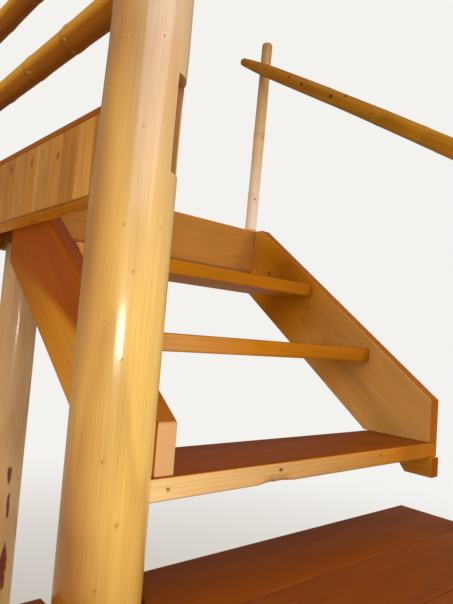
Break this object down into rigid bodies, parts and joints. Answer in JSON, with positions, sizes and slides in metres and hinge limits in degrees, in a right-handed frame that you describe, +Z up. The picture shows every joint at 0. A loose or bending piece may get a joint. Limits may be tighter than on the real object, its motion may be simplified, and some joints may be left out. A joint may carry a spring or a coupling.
{
  "type": "quarter-turn open plank stair",
  "caption": "Open-riser plank stair that turns a quarter round a full-height peeled newel log, with a platform, an upper landing edge, log guard rails and a pole handrail.",
  "frame": {"origin": "centre of the newel log's foot, on the ground", "axes": "+X along the upper treads from the newel to the wall, +Y the way the upper flight climbs, +Z up"},
  "size_m": [2.4765, 3.1285, 3.2],
  "materials": {
    "peeled_log": "peeled softwood log, gloss varnish",
    "sawn_framing": "sawn softwood, varnished",
    "platform_plank": "planed softwood, dark gloss varnish",
    "tread_plank": "planed softwood, gloss varnish",
    "stringer_board": "planed softwood, gloss varnish",
    "cleat_block": "planed softwood, varnished",
    "header_board": "planed softwood, gloss varnish",
    "floor_board": "tongue and groove boards, varnished",
    "lining_board": "tongue and groove lining, varnished",
    "soffit_board": "planed softwood, gloss varnish",
    "rail_log": "peeled softwood log, gloss varnish",
    "pale_pole": "peeled pole, thinly varnished",
    "handrail_pole": "peeled pole, gloss varnish"
  },
  "bodies": {
    "root": {"newel_log": "peeled_log", "platform_post": "peeled_log", "end_newel_log": "peeled_log", "gallery_support_log": "peeled_log", "platform_header": "sawn_framing", "platform_wall_ledger": "sawn_framing", "platform_far_bearer": "sawn_framing", "platform_near_bearer": "sawn_framing", "platform_mid_joist": "sawn_framing", "landing_joist_left": "sawn_framing", "landing_joist_right": "sawn_framing", "landing_wall_joist": "sawn_framing", "landing_back_beam": "sawn_framing", "gallery_edge_beam": "sawn_framing", "platform_plank_1": "platform_plank", "platform_plank_2": "platform_plank", "platform_plank_3": "platform_plank", "platform_plank_4": "platform_plank", "platform_plank_5": "platform_plank", "platform_plank_6": "platform_plank", "lower_tread_1": "tread_plank", "lower_tread_2": "tread_plank", "lower_tread_3": "tread_plank", "tread_1": "tread_plank", "tread_2": "tread_plank", "tread_3": "tread_plank", "lower_stringer_inner": "stringer_board", "lower_stringer_outer": "stringer_board", "upper_stringer_left": "stringer_board", "upper_stringer_right": "stringer_board", "tread_1_wall_cleat": "cleat_block", "landing_header": "header_board", "landing_floor": "floor_board", "gallery_cap": "floor_board", "gallery_cladding": "lining_board", "gallery_soffit": "soffit_board", "guard_rail_1": "rail_log", "guard_rail_2": "rail_log", "guard_rail_3": "rail_log", "upper_handrail_pole": "pale_pole", "lower_handrail_pole": "pale_pole", "handrail": "handrail_pole"}
  },
  "joints": []
}
